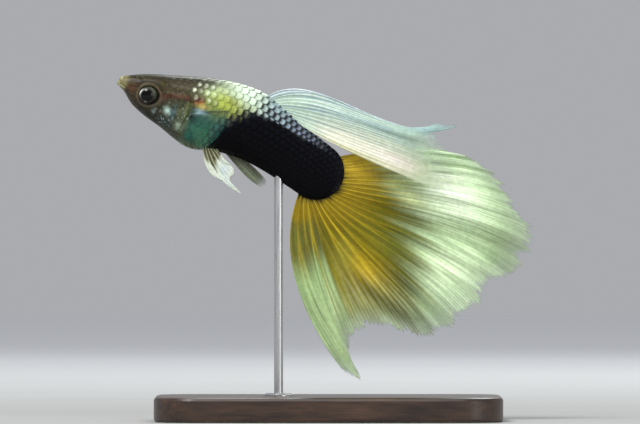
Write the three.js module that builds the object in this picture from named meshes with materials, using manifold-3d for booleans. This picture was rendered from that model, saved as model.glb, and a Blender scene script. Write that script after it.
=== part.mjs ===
// A male fancy guppy, half black with a yellow and white fan tail: a life-size, still model on a stand.
// Millimetres, +Z up. The head points to -X and the fish's left side faces -Y.
// The origin is the centre of the base's underside.
import * as THREE from "three";
import { mergeVertices } from "three/addons/utils/BufferGeometryUtils.js";
import Module from "manifold-3d";

const wasm = await Module();
wasm.setup();

// Driving dimensions
const BODY_LENGTH = 29.9; // snout to the middle of the tail root, along the body's midline
const SNOUT = [-25.32, -0.7, 40.96]; // where the midline starts
const GAP = 0.3; // air kept between neighbouring solids
const FIN_SKIN = 0.5; // thickness of a fin's membrane
const FIN_RAY = 0.74; // thickness of a fin across a ray
const FIN_TIP = 0.24; // thickness at a fin's outer margin
const BASE_SIZE = [42, 26, 3]; // the stand's base
const BASE_CORNER = 5;
const BASE_BEVEL = 0.4;

// Body measures against the distance from the snout: the midline's pitch and turn in degrees
const PITCH = [
  [0, -20.9], [5, -19.8], [9.5, -17.4], [14, -19.9], [18.5, -27.5], [23, -36.7], [26, -39.1], [30, -39],
];
const TURN = [[0, 9], [6, 6.5], [13, 0], [20, -4], [26, -5], [30, -5]];
// Height of the back above the midline, depth of the belly below it, and half of the width
const BACK = [
  [0, 0.5], [0.3, 0.86], [0.8, 1.18], [1.8, 1.65], [3.3, 2.26], [5.2, 2.87], [8, 3.63], [11, 4.22],
  [14, 4.6], [15.6, 4.7], [17, 4.6], [18.5, 4.2], [20, 3.86], [21.5, 3.63], [24, 3.56], [26.4, 3.54],
];
const BELLY = [
  [0, 0.3], [0.3, 0.5], [0.8, 0.72], [1.2, 1.0], [1.8, 1.5], [2.5, 2.0], [4.2, 2.7], [6.5, 3.4], [8, 4.03],
  [9.5, 4.58], [10.8, 4.72], [12.5, 4.4], [14, 4.08], [17, 3.81], [21.5, 3.7], [24, 3.56], [26.4, 3.38],
];
const WIDTH = [
  [0, 0.62], [0.3, 0.9], [0.8, 1.14], [1.8, 1.5], [2.5, 1.72], [4.2, 2.14], [6.5, 2.46], [9.5, 2.72],
  [11, 2.72], [14, 2.45], [17, 2.06], [20, 1.66], [23, 1.38], [26, 1.16], [28, 0.86], [29.2, 0.6],
  [29.9, 0.36],
];
// How square the section is above and below the midline: 2 is an ellipse, more is squarer
const SQUARE_TOP = [[0, 2.4], [3, 2.7], [7, 2.4], [14, 2.0], [30, 1.9]];
const SQUARE_LOW = [[0, 2.1], [5, 1.9], [11, 2.2], [18, 2.0], [30, 1.9]];

// The tail root is a half ellipse: where it starts, how far it reaches back
const ROOT_START = 26.4;
const ROOT_REACH = BODY_LENGTH - ROOT_START;
const ROOT_HALF_HEIGHT = 3.46;

// Cuts between the body's parts
const GILL_TOP = 7.7; // the gill cover's hind edge at the back and throat
const GILL_BULGE = 1.15; // how much further back it reaches at mid side
const STALK_START = 20.5; // the tail stalk

// Head details, as [distance from snout, height above midline]
const EYE = [3.79, -0.26];
const EYE_RADII = [1.26, 0.84, 1.2]; // along the body, across it, up
const EYE_SIDE = 1.4; // eye centre from the midline
const SOCKET_LIP = 0.25; // radius the socket has more than the eye
// The mouth's line and the lips beside it, the upper one first. Corner and turn lie [back, aside, up] from
// the snout, the front [back, up].
const MOUTH_LINE = {
  radius: 0.13,
  corner: [1.55, 1.3, -0.36],
  turn: [0.3, 0.92, 0.02],
  front: [-0.18, 0.27],
};
const LIPS = [
  { radius: 0.3, corner: [1.35, 1.02, -0.2], turn: [0.5, 0.66, 0.26], front: [0.16, 0.5] },
  { radius: 0.3, corner: [1.35, 1.0, -0.42], turn: [0.46, 0.62, -0.2], front: [0.06, -0.06] },
];
const NOSTRIL_RADIUS = 0.17;
const NOSTRILS = [[1.55, 52], [2.3, 47]]; // [distance from snout, degrees up the side]
const GILL_STEP = 0.24; // how far the gill cover stands proud
const CHEEK_GROOVE = 0.13; // depth of the groove between cheek and gill cover

// Smooth value of a table [[at, value], ...] at x, by cubic pieces through its rows
function along(table, x) {
  const last = table.length - 1;
  if (x <= table[0][0]) return table[0][1];
  if (x >= table[last][0]) return table[last][1];
  let i = 0;
  while (x > table[i + 1][0]) i++;
  const slope = (k) => {
    const a = Math.max(k - 1, 0);
    const b = Math.min(k + 1, last);
    return (table[b][1] - table[a][1]) / (table[b][0] - table[a][0]);
  };
  const [x0, y0] = table[i];
  const [x1, y1] = table[i + 1];
  const h = x1 - x0;
  const t = (x - x0) / h;
  const startShare = (1 + 2 * t) * (1 - t) ** 2;
  const endShare = t * t * (3 - 2 * t);
  const bend = t * (1 - t) * ((1 - t) * slope(i) - t * slope(i + 1));
  return startShare * y0 + endShare * y1 + h * bend;
}

const smooth = (x, from, to) => {
  const t = Math.min(Math.max((x - from) / (to - from), 0), 1);
  return t * t * (3 - 2 * t);
};
const radians = THREE.MathUtils.degToRad;

// The midline, stepped out once from its pitch and turn
const STEP = 0.05;
const midline = [new THREE.Vector3(...SNOUT)];
function axesAt(s) {
  const pitch = radians(along(PITCH, s));
  const turn = radians(along(TURN, s));
  const level = new THREE.Vector3(Math.cos(pitch), 0, Math.sin(pitch));
  const across = new THREE.Vector3(0, 1, 0);
  return {
    back: level.clone().multiplyScalar(Math.cos(turn)).addScaledVector(across, Math.sin(turn)),
    side: across.clone().multiplyScalar(Math.cos(turn)).addScaledVector(level, -Math.sin(turn)),
    up: new THREE.Vector3(-Math.sin(pitch), 0, Math.cos(pitch)),
  };
}
for (let s = STEP / 2; s < BODY_LENGTH + 2; s += STEP) {
  midline.push(midline[midline.length - 1].clone().addScaledVector(axesAt(s).back, STEP));
}
function midlineAt(s) {
  const k = Math.max(s, 0) / STEP;
  const i = Math.min(Math.floor(k), midline.length - 2);
  const p = midline[i].clone().lerp(midline[i + 1], k - i);
  return p.addScaledVector(axesAt(0).back, Math.min(s, 0));
}

// A point given in body terms: distance from the snout, offset to the fish's right (+) or left (-), height
function inBody(s, side, height) {
  const axes = axesAt(s);
  return midlineAt(s).addScaledVector(axes.side, side).addScaledVector(axes.up, height);
}

// The body's skin at distance s and angle a round the midline: 0 is the right side, 90 degrees the back.
// proud lifts it outwards.
function skin(s, a, proud = 0) {
  const rootShare = Math.min(Math.max((s - ROOT_START) / ROOT_REACH, 0), 1);
  const taper = Math.sqrt(1 - rootShare * rootShare);
  const above = Math.sin(a) >= 0;
  const height = Math.max(along(above ? BACK : BELLY, s) * taper, 0.02);
  const width = along(WIDTH, s);
  const power = along(above ? SQUARE_TOP : SQUARE_LOW, s);
  const c = Math.abs(Math.cos(a)) / width;
  const d = Math.abs(Math.sin(a)) / height;
  const radius = (c ** power + d ** power) ** (-1 / power) + proud;
  return inBody(s, radius * Math.cos(a), radius * Math.sin(a));
}

// The gill cover's hind edge at angle a. The cover stands proud of the trunk behind it from the throat up to
// the nape, and a groove that curves down behind the eye parts it from the cheek.
const gillEdge = (a) => GILL_TOP + GILL_BULGE * Math.abs(Math.cos(a)) ** 1.3 - 0.25 * Math.sin(a);
function gillCover(s, a) {
  const belowNape = 1 - smooth(Math.sin(a), 0.25, 0.6);
  const onSide = smooth(Math.abs(Math.cos(a)), 0.25, 0.7) * belowNape;
  const cover = GILL_STEP * onSide * smooth(s, 5.2, gillEdge(a) - 0.4);
  const grooveAt = 6.1 + 0.9 * Math.sin(a);
  const below = smooth(-Math.sin(a), -0.35, 0.1);
  const groove = CHEEK_GROOVE * onSide * below * Math.exp(-(((s - grooveAt) / 0.32) ** 2));
  return cover - groove;
}

// Manifold helpers: a three.js geometry as a solid, and back
function solidOf(geometry) {
  const bare = new THREE.BufferGeometry();
  bare.setAttribute("position", geometry.getAttribute("position"));
  if (geometry.index) bare.setIndex(geometry.index);
  const merged = mergeVertices(bare, 1e-4);
  const vertProperties = merged.attributes.position.array;
  const triVerts = new Uint32Array(merged.index.array);
  return new wasm.Manifold(new wasm.Mesh({ numProp: 3, vertProperties, triVerts }));
}
function geometryOf(solid) {
  const bodies = solid.decompose().sort((a, b) => b.volume() - a.volume());
  const mesh = bodies[0].getMesh();
  const geometry = new THREE.BufferGeometry();
  geometry.setAttribute("position", new THREE.BufferAttribute(new Float32Array(mesh.vertProperties), 3));
  geometry.setIndex(new THREE.BufferAttribute(new Uint32Array(mesh.triVerts), 1));
  geometry.computeVertexNormals();
  return geometry;
}

// A closed geometry from rings of equal count, with a point closing each end
function ringsGeometry(rings, first, last) {
  const n = rings[0].length;
  const positions = [first, ...rings.flat(), last].flatMap((p) => p.toArray());
  const index = [];
  const at = (ring, k) => 1 + ring * n + (k % n);
  for (let k = 0; k < n; k++) index.push(0, at(0, k + 1), at(0, k));
  for (let r = 0; r + 1 < rings.length; r++) {
    for (let k = 0; k < n; k++) {
      index.push(at(r, k), at(r + 1, k + 1), at(r + 1, k), at(r, k), at(r, k + 1), at(r + 1, k + 1));
    }
  }
  const end = rings.length * n + 1;
  for (let k = 0; k < n; k++) index.push(end, at(rings.length - 1, k), at(rings.length - 1, k + 1));
  const geometry = new THREE.BufferGeometry();
  geometry.setAttribute("position", new THREE.Float32BufferAttribute(positions, 3));
  geometry.setIndex(index);
  geometry.computeVertexNormals();
  return geometry;
}

// A length of the body between two cuts, each a function of the angle round the midline.
// spread maps 0..1 to 0..1 and sets where the rings fall.
function bodyLength({ from, to, rings, sides, spread = (t) => t, proud = () => 0 }) {
  const loops = [];
  for (let r = 0; r <= rings; r++) {
    const t = spread(r / rings);
    loops.push(
      Array.from({ length: sides }, (_, k) => {
        const a = (k / sides) * 2 * Math.PI;
        const s = THREE.MathUtils.lerp(from(a), to(a), t);
        return skin(s, a, proud(s, a));
      }),
    );
  }
  const middle = (cut) => (cut(0) + cut(Math.PI / 2)) / 2;
  return ringsGeometry(loops, midlineAt(middle(from)), midlineAt(middle(to)));
}

// A thin fin. centre(u, v) is its middle sheet, u from the first ray to the last and v from root to margin.
// Both faces share one triangulation, and every ray is a ridge on both.
function finGeometry({ centre, rays, rows, thin = FIN_SKIN, thick = FIN_RAY, notch = 0.05, tip = FIN_TIP }) {
  const columns = 2 * (rays - 1);
  const isRay = (c) => c % 2 === 0;
  // the margin is notched between the rays, more in some places than in others
  const reach = (c) => 1 - notch * (isRay(c) ? 0.3 : 1) * (1 + 0.7 * Math.sin(2.3 * c));
  const sheet = (c, r) => centre(c / columns, (r / rows) * reach(c));
  const normalAt = (c, r) => {
    const du = sheet(Math.min(c + 2, columns), r).sub(sheet(Math.max(c - 2, 0), r));
    const dv = sheet(c, Math.min(r + 1, rows)).sub(sheet(c, Math.max(r - 1, 0)));
    return du.cross(dv).normalize();
  };
  const faces = [[], []];
  for (let c = 0; c <= columns; c++) {
    for (let r = 0; r <= rows; r++) {
      const full = isRay(c) ? thick : thin;
      const depth = THREE.MathUtils.lerp(full, tip, smooth(r / rows, 0.8, 1));
      const p = sheet(c, r);
      const n = normalAt(c, r).multiplyScalar(depth / 2);
      faces[0].push(p.clone().add(n));
      faces[1].push(p.clone().sub(n));
    }
  }
  const perFace = faces[0].length;
  const at = (face, c, r) => face * perFace + c * (rows + 1) + r;
  const index = [];
  // a quad is cut from its first corner to its third, so its diagonal runs alike on both faces
  const quad = (a, b, c, d) => index.push(a, b, c, a, c, d);
  for (let c = 0; c < columns; c++) {
    for (let r = 0; r < rows; r++) {
      quad(at(0, c, r), at(0, c + 1, r), at(0, c + 1, r + 1), at(0, c, r + 1));
      quad(at(1, c, r), at(1, c, r + 1), at(1, c + 1, r + 1), at(1, c + 1, r));
    }
    quad(at(0, c + 1, 0), at(0, c, 0), at(1, c, 0), at(1, c + 1, 0));
    quad(at(0, c, rows), at(0, c + 1, rows), at(1, c + 1, rows), at(1, c, rows));
  }
  for (let r = 0; r < rows; r++) {
    quad(at(0, 0, r), at(0, 0, r + 1), at(1, 0, r + 1), at(1, 0, r));
    quad(at(0, columns, r + 1), at(0, columns, r), at(1, columns, r), at(1, columns, r + 1));
  }
  const positions = faces.flat().flatMap((p) => p.toArray());
  const geometry = new THREE.BufferGeometry();
  geometry.setAttribute("position", new THREE.Float32BufferAttribute(positions, 3));
  geometry.setIndex(index);
  geometry.computeVertexNormals();
  return geometry;
}

// The middle sheet of a fin whose rays are cubic curves in the side view. root(u) is where a ray starts;
// each row is [u, tip x, tip z, angle leaving the root, angle at the tip], and sway(u, v) moves it sideways.
const HANDLE = 0.36; // share of a ray's chord that its curve handles take
function raySheet(root, rows, sway) {
  const column = (k) => rows.map((row) => [row[0], row[k]]);
  const [tipX, tipZ, leaving, arriving] = [1, 2, 3, 4].map(column);
  const heading = (table, u) => {
    const turn = radians(along(table, u));
    return new THREE.Vector3(Math.cos(turn), 0, Math.sin(turn));
  };
  return (u, v) => {
    const start = root(u);
    const end = new THREE.Vector3(along(tipX, u), start.y, along(tipZ, u));
    const reach = start.distanceTo(end) * HANDLE;
    const first = start.clone().addScaledVector(heading(leaving, u), reach);
    const second = end.clone().addScaledVector(heading(arriving, u), -reach);
    const p = new THREE.CubicBezierCurve3(start, first, second, end).getPoint(v);
    p.y += sway(u, v);
    return p;
  };
}

const guppy = new THREE.Group();
const colour = (r, g, b) => new THREE.Color().setRGB(r, g, b, THREE.SRGBColorSpace);
function finish(r, g, b, roughness, metalness = 0) {
  return new THREE.MeshStandardMaterial({ color: colour(r, g, b), roughness, metalness });
}
const materials = {
  head: finish(0.42, 0.38, 0.3, 0.4),
  trunk: finish(0.5, 0.56, 0.36, 0.35, 0.2),
  stalk: finish(0.04, 0.04, 0.06, 0.35, 0.2),
  eye: finish(0.03, 0.03, 0.04, 0.08),
  tail: finish(0.85, 0.82, 0.45, 0.5),
  dorsal: finish(0.8, 0.88, 0.82, 0.5),
  smallFin: finish(0.78, 0.82, 0.68, 0.5),
  base: finish(0.2, 0.13, 0.09, 0.5),
  rod: finish(0.7, 0.7, 0.72, 0.25, 1),
};
function place(name, geometry, material, parent = guppy) {
  const mesh = new THREE.Mesh(geometry, material);
  mesh.name = name;
  parent.add(mesh);
  return mesh;
}

// Eyes: flattened balls turned with the head
function eyePlacement(mesh, side) {
  const axes = axesAt(EYE[0]);
  mesh.position.copy(inBody(EYE[0], side * EYE_SIDE, EYE[1]));
  mesh.quaternion.setFromRotationMatrix(new THREE.Matrix4().makeBasis(axes.back, axes.side, axes.up));
  mesh.updateMatrix();
  return mesh;
}
function ellipsoid(radii, segments, rings) {
  return new THREE.SphereGeometry(1, segments, rings).rotateX(Math.PI / 2).scale(...radii);
}
for (const [name, side] of [["eye_right", 1], ["eye_left", -1]]) {
  eyePlacement(place(name, ellipsoid(EYE_RADII, 24, 14), materials.eye), side);
}

// Head: a length of body with lips, sockets and nostrils. A lip runs from one corner of the mouth round
// the front to the other, thin at the corners.
function lipGeometry(arc, radius) {
  const steps = 18;
  const sides = 10;
  const curve = new THREE.CatmullRomCurve3(arc);
  const frames = curve.computeFrenetFrames(steps, false);
  const rings = [];
  for (let i = 1; i < steps; i++) {
    const t = i / steps;
    const r = radius * Math.sin(Math.PI * t) ** 0.4;
    rings.push(
      Array.from({ length: sides }, (_, k) => {
        const a = (k / sides) * 2 * Math.PI;
        return curve
          .getPointAt(t)
          .addScaledVector(frames.normals[i], r * Math.cos(a))
          .addScaledVector(frames.binormals[i], r * Math.sin(a));
      }),
    );
  }
  return ringsGeometry(rings, curve.getPointAt(0), curve.getPointAt(1));
}
function across(corner, turn, front) {
  return [
    inBody(corner[0], corner[1], corner[2]),
    inBody(turn[0], turn[1], turn[2]),
    inBody(front[0], 0, front[1]),
    inBody(turn[0], -turn[1], turn[2]),
    inBody(corner[0], -corner[1], corner[2]),
  ];
}
function headSolid() {
  let head = solidOf(
    bodyLength({
      from: () => 0,
      to: gillEdge,
      rings: 29,
      sides: 46,
      spread: (t) => t ** 1.2,
      proud: gillCover,
    }),
  );
  for (const { radius, corner, turn, front } of LIPS) {
    head = head.add(solidOf(lipGeometry(across(corner, turn, front), radius)));
  }
  const { radius, corner, turn, front } = MOUTH_LINE;
  head = head.subtract(solidOf(lipGeometry(across(corner, turn, front), radius)));
  for (const side of [1, -1]) {
    const socket = ellipsoid(EYE_RADII.map((r) => r + SOCKET_LIP), 24, 14);
    const holder = eyePlacement(new THREE.Mesh(socket), side);
    head = head.subtract(solidOf(socket.applyMatrix4(holder.matrix)));
    for (const [s, degrees] of NOSTRILS) {
      const a = side > 0 ? radians(degrees) : Math.PI - radians(degrees);
      const pit = new THREE.SphereGeometry(NOSTRIL_RADIUS, 8, 6).translate(...skin(s, a, 0.04).toArray());
      head = head.subtract(solidOf(pit));
    }
  }
  return head;
}
place("head", geometryOf(headSolid()), materials.head);

// Trunk, and the tail stalk with the hole that takes the stand's rod
place(
  "trunk",
  bodyLength({ from: (a) => gillEdge(a) + GAP, to: () => STALK_START, rings: 16, sides: 44 }),
  materials.trunk,
);

const ROD_AT = 23.5; // where the rod meets the belly, from the snout
const ROD_RADIUS = 0.55;
const ROD_SINK = 0.9; // how far the rod goes into the belly
const FOOT = { radius: 1.7, recess: 0.7, proud: 0.35 };
const belly = skin(ROD_AT, -Math.PI / 2);
function upright(radius, low, high, x, y, sides = 20) {
  return new THREE.CylinderGeometry(radius, radius, high - low, sides)
    .rotateX(Math.PI / 2)
    .translate(x, y, (low + high) / 2);
}
const stalk = solidOf(
  bodyLength({
    from: () => STALK_START + GAP,
    to: () => BODY_LENGTH,
    rings: 16,
    sides: 44,
    spread: (t) => Math.sin((t * Math.PI) / 2) ** 1.25,
  }),
).subtract(
  solidOf(upright(ROD_RADIUS + GAP, belly.z - 3, belly.z + ROD_SINK + GAP, belly.x, belly.y)),
);
place("tail_stalk", geometryOf(stalk), materials.stalk);

// Tail fin: rays fan out from the tail root
const TAIL_RAYS = 26;
const TAIL_ROOT_TOP = 74; // degrees round the tail root where the first ray starts
function tailRoot(u) {
  const turn = radians(TAIL_ROOT_TOP - (TAIL_ROOT_TOP + 90) * u);
  const s = ROOT_START + (ROOT_REACH + GAP) * Math.cos(turn);
  return inBody(s, 0, (ROOT_HALF_HEIGHT + GAP) * Math.sin(turn));
}
const TAIL_ROWS = [
  [0, 13.6, 32.8, 12, -6], [0.12, 17.6, 31.6, 8, -14], [0.22, 20.6, 29.0, 4, -20],
  [0.32, 22.9, 25.6, -2, -24], [0.41, 25.2, 22.6, -10, -26], [0.5, 23.5, 19.4, -20, -33],
  [0.6, 19.6, 16.2, -34, -40], [0.7, 14.8, 12.2, -50, -50], [0.77, 11.2, 10.4, -62, -56],
  [0.82, 5.6, 11.6, -72, -62], [0.87, 2.4, 10.0, -82, -64], [0.92, 2.7, 7.6, -94, -62],
  [0.965, 3.7, 5.3, -104, -54], [1, 2.0, 5.8, -112, -52],
];
// Sideways reach of the folds at the margin; plus is away from the left side
const TAIL_FOLDS = [
  [0, 2.3], [0.14, 2.0], [0.3, 0.6], [0.42, -1.2], [0.55, 0.9], [0.68, -0.9], [0.8, 1.5], [0.9, -1.4],
  [1, -2.6],
];
const tailSway = (u, v) => along(TAIL_FOLDS, u) * v ** 1.25;
place(
  "tail_fin",
  finGeometry({ centre: raySheet(tailRoot, TAIL_ROWS, tailSway), rays: TAIL_RAYS, rows: 13, notch: 0.06 }),
  materials.tail,
);

// Dorsal fin: a long flag that leans to the left and trails past the tail root
const DORSAL_RAYS = 13;
const DORSAL_BASE = [17.0, 19.9];
const dorsalRoot = (u) => skin(THREE.MathUtils.lerp(...DORSAL_BASE, u), Math.PI / 2, GAP);
const DORSAL_ROWS = [
  [0, 13.4, 36.1, 34, 26], [0.16, 15.2, 35.5, 24, 18], [0.26, 13.4, 35.0, 15, 9], [0.36, 12.6, 34.2, 7, -2],
  [0.5, 14.2, 32.7, -4, -14], [0.7, 14.2, 30.4, -18, -25], [0.86, 13.8, 29.0, -30, -27],
  [1, 12.7, 28.0, -36, -25],
];
const dorsalSway = (u, v) => -3.1 * v * (2 - v) + 0.35 * v * Math.sin(2 * Math.PI * (1.3 * u + 0.4 * v));
const dorsalSheet = raySheet(dorsalRoot, DORSAL_ROWS, dorsalSway);
place(
  "dorsal_fin",
  finGeometry({ centre: dorsalSheet, rays: DORSAL_RAYS, rows: 13, notch: 0.06 }),
  materials.dorsal,
);

// Paired fins, the right one a mirror of the left about the body's midline
for (const [name, side] of [["right", 1], ["left", -1]]) {
  const angle = (degrees) => (side > 0 ? radians(degrees) : Math.PI - radians(degrees));

  // Pectoral fins fan out behind the gill cover
  const pectoralRoot = (u) => skin(9.3 + 0.1 * u, angle(-17 - 20 * u), GAP);
  const reach = (u) => 4.8 - 1.4 * u;
  const pectoralRows = [0, 0.25, 0.5, 0.75, 1].map((u) => {
    const start = pectoralRoot(u);
    const aim = 6 - 76 * u;
    const tipX = start.x + reach(u) * Math.cos(radians(aim));
    const tipZ = start.z + reach(u) * Math.sin(radians(aim));
    return [u, tipX, tipZ, aim + 5, aim - 8];
  });
  const pectoralSway = (u, v) => side * (1.5 * v + 0.25 * Math.sin(Math.PI * u) * v);
  const pectoralSheet = raySheet(pectoralRoot, pectoralRows, pectoralSway);
  place(
    "pectoral_fin_" + name,
    finGeometry({ centre: pectoralSheet, rays: 11, rows: 7, thick: 0.64 }),
    materials.smallFin,
  );

  // Pelvic fins hang from the belly and end in one drawn-out ray
  const pelvicRoot = (u) => skin(12.3 + 1.1 * u, angle(-76), GAP);
  const pelvicRows = [
    [0, -13.8, 29.5, -86, -40], [0.13, -12.9, 29.1, -82, -40], [0.28, -10.6, 27.5, -74, -26],
    [0.44, -11.9, 29.1, -62, -40], [0.62, -11.4, 29.9, -52, -40], [0.8, -11.6, 30.8, -46, -34],
    [1, -12.5, 31.2, -40, -30],
  ];
  const pelvicSway = (u, v) => side * (0.9 * v + 0.3 * Math.sin(Math.PI * v) * (1 - u));
  place(
    "pelvic_fin_" + name,
    finGeometry({ centre: raySheet(pelvicRoot, pelvicRows, pelvicSway), rays: 7, rows: 8, thick: 0.66 }),
    materials.smallFin,
  );
}

// Gonopodium: the male's anal fin, narrowed to a blade that lies back along the belly
const gonopodiumRoot = (u) => skin(15.9 - 1.2 * u, -Math.PI / 2, GAP);
const GONOPODIUM_ROWS = [
  [0, -7.5, 29.1, -18, -46], [0.5, -7.7, 28.6, -30, -40], [1, -8.3, 28.3, -46, -30],
];
place(
  "gonopodium",
  finGeometry({
    centre: raySheet(gonopodiumRoot, GONOPODIUM_ROWS, () => 0),
    rays: 4,
    rows: 9,
    thin: 0.62,
    thick: 0.85,
    notch: 0.02,
  }),
  materials.smallFin,
);

// Stand: a flat base with a shallow recess, and a rod whose round foot sits in it
function roundedPlate([length, width, height], corner) {
  const x = length / 2 - BASE_BEVEL;
  const y = width / 2 - BASE_BEVEL;
  const r = corner - BASE_BEVEL;
  const outline = new THREE.Shape()
    .moveTo(-x + r, -y)
    .lineTo(x - r, -y)
    .absarc(x - r, -y + r, r, -Math.PI / 2, 0)
    .absarc(x - r, y - r, r, 0, Math.PI / 2)
    .absarc(-x + r, y - r, r, Math.PI / 2, Math.PI)
    .absarc(-x + r, -y + r, r, Math.PI, 1.5 * Math.PI);
  return new THREE.ExtrudeGeometry(outline, {
    depth: height - 2 * BASE_BEVEL,
    curveSegments: 8,
    bevelThickness: BASE_BEVEL,
    bevelSize: BASE_BEVEL,
    bevelSegments: 2,
  }).translate(0, 0, BASE_BEVEL);
}
const baseTop = BASE_SIZE[2];
const recess = upright(FOOT.radius + GAP, baseTop - FOOT.recess, baseTop + 2, belly.x, belly.y, 28);
place(
  "stand_base",
  geometryOf(solidOf(roundedPlate(BASE_SIZE, BASE_CORNER)).subtract(solidOf(recess))),
  materials.base,
);

const footLow = baseTop - FOOT.recess + GAP;
const footHigh = baseTop + FOOT.proud;
const rodTop = belly.z + ROD_SINK;
const rodProfile = [
  [0, footLow], [FOOT.radius, footLow], [FOOT.radius, footHigh - 0.2], [FOOT.radius - 0.2, footHigh],
  [ROD_RADIUS, footHigh], [ROD_RADIUS, rodTop - 0.15], [ROD_RADIUS - 0.15, rodTop], [0, rodTop],
].map(([r, z]) => new THREE.Vector2(r, z));
place(
  "stand_rod",
  new THREE.LatheGeometry(rodProfile, 24).rotateX(Math.PI / 2).translate(belly.x, belly.y, 0),
  materials.rod,
);

export default guppy;
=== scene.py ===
# A male half-black guppy with a yellow and white fan tail, on its display stand: the looks.
# Shapes are worked out in millimetres in the row frame and turned into metres when a mesh is made.
import math

import bpy
import numpy as np
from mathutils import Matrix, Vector


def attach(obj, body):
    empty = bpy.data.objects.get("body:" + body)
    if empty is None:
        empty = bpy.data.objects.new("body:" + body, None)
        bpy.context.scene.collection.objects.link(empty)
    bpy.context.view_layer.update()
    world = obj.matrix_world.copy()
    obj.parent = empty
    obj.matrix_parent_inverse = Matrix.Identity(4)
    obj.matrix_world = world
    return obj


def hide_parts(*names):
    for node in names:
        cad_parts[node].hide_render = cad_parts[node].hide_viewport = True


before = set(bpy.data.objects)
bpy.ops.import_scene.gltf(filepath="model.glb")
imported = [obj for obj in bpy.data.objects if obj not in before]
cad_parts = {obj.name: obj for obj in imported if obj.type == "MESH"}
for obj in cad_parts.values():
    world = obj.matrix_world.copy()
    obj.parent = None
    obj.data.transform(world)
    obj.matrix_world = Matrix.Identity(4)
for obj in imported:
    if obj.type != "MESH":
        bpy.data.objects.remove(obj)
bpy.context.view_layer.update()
MM = 0.001
rng = np.random.default_rng(7)

# The body's measures, as in the solids
BODY_LENGTH = 29.9
SNOUT = (-25.32, -0.7, 40.96)
PITCH = [
    (0, -20.9), (5, -19.8), (9.5, -17.4), (14, -19.9), (18.5, -27.5), (23, -36.7), (26, -39.1), (30, -39),
]
TURN = [(0, 9), (6, 6.5), (13, 0), (20, -4), (26, -5), (30, -5)]
BACK = [
    (0, 0.5), (0.3, 0.86), (0.8, 1.18), (1.8, 1.65), (3.3, 2.26), (5.2, 2.87), (8, 3.63), (11, 4.22),
    (14, 4.6), (15.6, 4.7), (17, 4.6), (18.5, 4.2), (20, 3.86), (21.5, 3.63), (24, 3.56), (26.4, 3.54),
]
BELLY = [
    (0, 0.3), (0.3, 0.5), (0.8, 0.72), (1.2, 1.0), (1.8, 1.5), (2.5, 2.0), (4.2, 2.7), (6.5, 3.4), (8, 4.03),
    (9.5, 4.58), (10.8, 4.72), (12.5, 4.4), (14, 4.08), (17, 3.81), (21.5, 3.7), (24, 3.56), (26.4, 3.38),
]
WIDTH = [
    (0, 0.62), (0.3, 0.9), (0.8, 1.14), (1.8, 1.5), (2.5, 1.72), (4.2, 2.14), (6.5, 2.46), (9.5, 2.72),
    (11, 2.72), (14, 2.45), (17, 2.06), (20, 1.66), (23, 1.38), (26, 1.16), (28, 0.86), (29.2, 0.6),
    (29.9, 0.36),
]
SQUARE_TOP = [(0, 2.4), (3, 2.7), (7, 2.4), (14, 2.0), (30, 1.9)]
SQUARE_LOW = [(0, 2.1), (5, 1.9), (11, 2.2), (18, 2.0), (30, 1.9)]
ROOT_START = 26.4
ROOT_REACH = BODY_LENGTH - ROOT_START
ROOT_HALF_HEIGHT = 3.46
GILL_TOP = 7.7
GILL_BULGE = 1.15
EYE = (3.79, -0.26)
EYE_RADII = (1.26, 0.84, 1.2)
EYE_SIDE = 1.4

# What this script adds
SKIN_DEPTH = 0.06  # how far the skin lies inside the solids, to leave room for the scales
SINK = 0.4  # how far a fin's root goes into the body
MAP_LENGTH = 31  # the length of body that noises and bake maps are spread over
MAP_EDGE = 0.02  # the bare border of a bake map


def along(table, x):
    """Smooth value of a table at x, by cubic pieces through its rows."""
    t = np.array(table, float)
    xs, ys = t[:, 0], t[:, 1]
    lo = np.maximum(np.arange(len(xs)) - 1, 0)
    hi = np.minimum(np.arange(len(xs)) + 1, len(xs) - 1)
    slope = (ys[hi] - ys[lo]) / (xs[hi] - xs[lo])
    x = np.clip(x, xs[0], xs[-1])
    i = np.clip(np.searchsorted(xs, x, side="left") - 1, 0, len(xs) - 2)
    h = xs[i + 1] - xs[i]
    w = (x - xs[i]) / h
    bend = w * (1 - w) * ((1 - w) * slope[i] - w * slope[i + 1])
    return (1 + 2 * w) * (1 - w) ** 2 * ys[i] + w * w * (3 - 2 * w) * ys[i + 1] + h * bend


def smooth(x, start, end):
    t = np.clip((x - start) / (end - start), 0, 1)
    return t * t * (3 - 2 * t)


def fade(x, start, end):
    return 1 - smooth(x, start, end)


def bump(x, centre, width):
    return np.exp(-(((x - centre) / width) ** 2))


def axes_at(s):
    pitch, turn = np.radians(along(PITCH, s)), np.radians(along(TURN, s))
    zero = np.zeros_like(pitch)
    level = np.stack([np.cos(pitch), zero, np.sin(pitch)], -1)
    across = np.stack([zero, zero + 1, zero], -1)
    c, d = np.cos(turn)[..., None], np.sin(turn)[..., None]
    up = np.stack([-np.sin(pitch), zero, np.cos(pitch)], -1)
    return level * c + across * d, across * c - level * d, up


STEP = 0.05
steps = np.arange(STEP / 2, BODY_LENGTH + 2, STEP)
midline = np.vstack([[SNOUT], np.array(SNOUT) + np.cumsum(axes_at(steps)[0] * STEP, axis=0)])
midline_s = np.arange(len(midline)) * STEP


def in_body(s, side, height):
    """The point at distance s from the snout, offset to the fish's right and height above the midline."""
    s, side, height = np.broadcast_arrays(*(np.asarray(v, float) for v in (s, side, height)))
    back, aside, up = axes_at(s)
    p = np.stack([np.interp(s, midline_s, midline[:, k]) for k in range(3)], -1)
    p = p + back * np.minimum(s, 0)[..., None]
    return p + aside * side[..., None] + up * height[..., None]


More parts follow.
